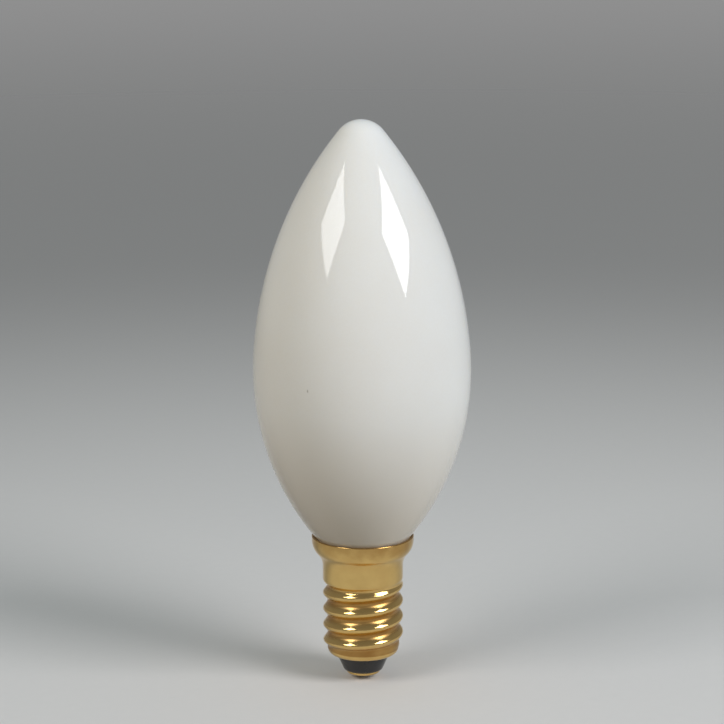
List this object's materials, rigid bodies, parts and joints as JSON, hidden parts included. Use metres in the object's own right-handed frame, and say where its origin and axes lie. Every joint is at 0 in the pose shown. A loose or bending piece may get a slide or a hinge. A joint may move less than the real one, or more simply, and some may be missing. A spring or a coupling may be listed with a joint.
{
  "type": "candle bulb",
  "caption": "Opal glass candle bulb, an almond-shaped lamp that narrows to a rounded tip, on a brass screw cap with a flared rim, a round thread and a black glass insulator.",
  "frame": {"origin": "on the axis of the lamp, at the very end of the centre contact, where it meets the contact of its holder", "axes": "+Z along the lamp's axis, from the contact to the tip of the glass; the lamp is round, so X and Y are free"},
  "size_m": [0.037, 0.037, 0.0972],
  "materials": {
    "opal_glass": "opal white, glossy",
    "cap_brass": "drawn and rolled, slightly dulled",
    "cement": "matt, baked brown",
    "black_glass": "moulded, glossy black",
    "contact_brass": "stamped, dull",
    "solder": "tin solder, satin grey"
  },
  "bodies": {
    "root": {"glass_envelope": "opal_glass", "screw_shell": "cap_brass", "basing_cement": "cement", "insulator": "black_glass", "centre_contact": "contact_brass", "centre_solder": "solder"}
  },
  "joints": []
}
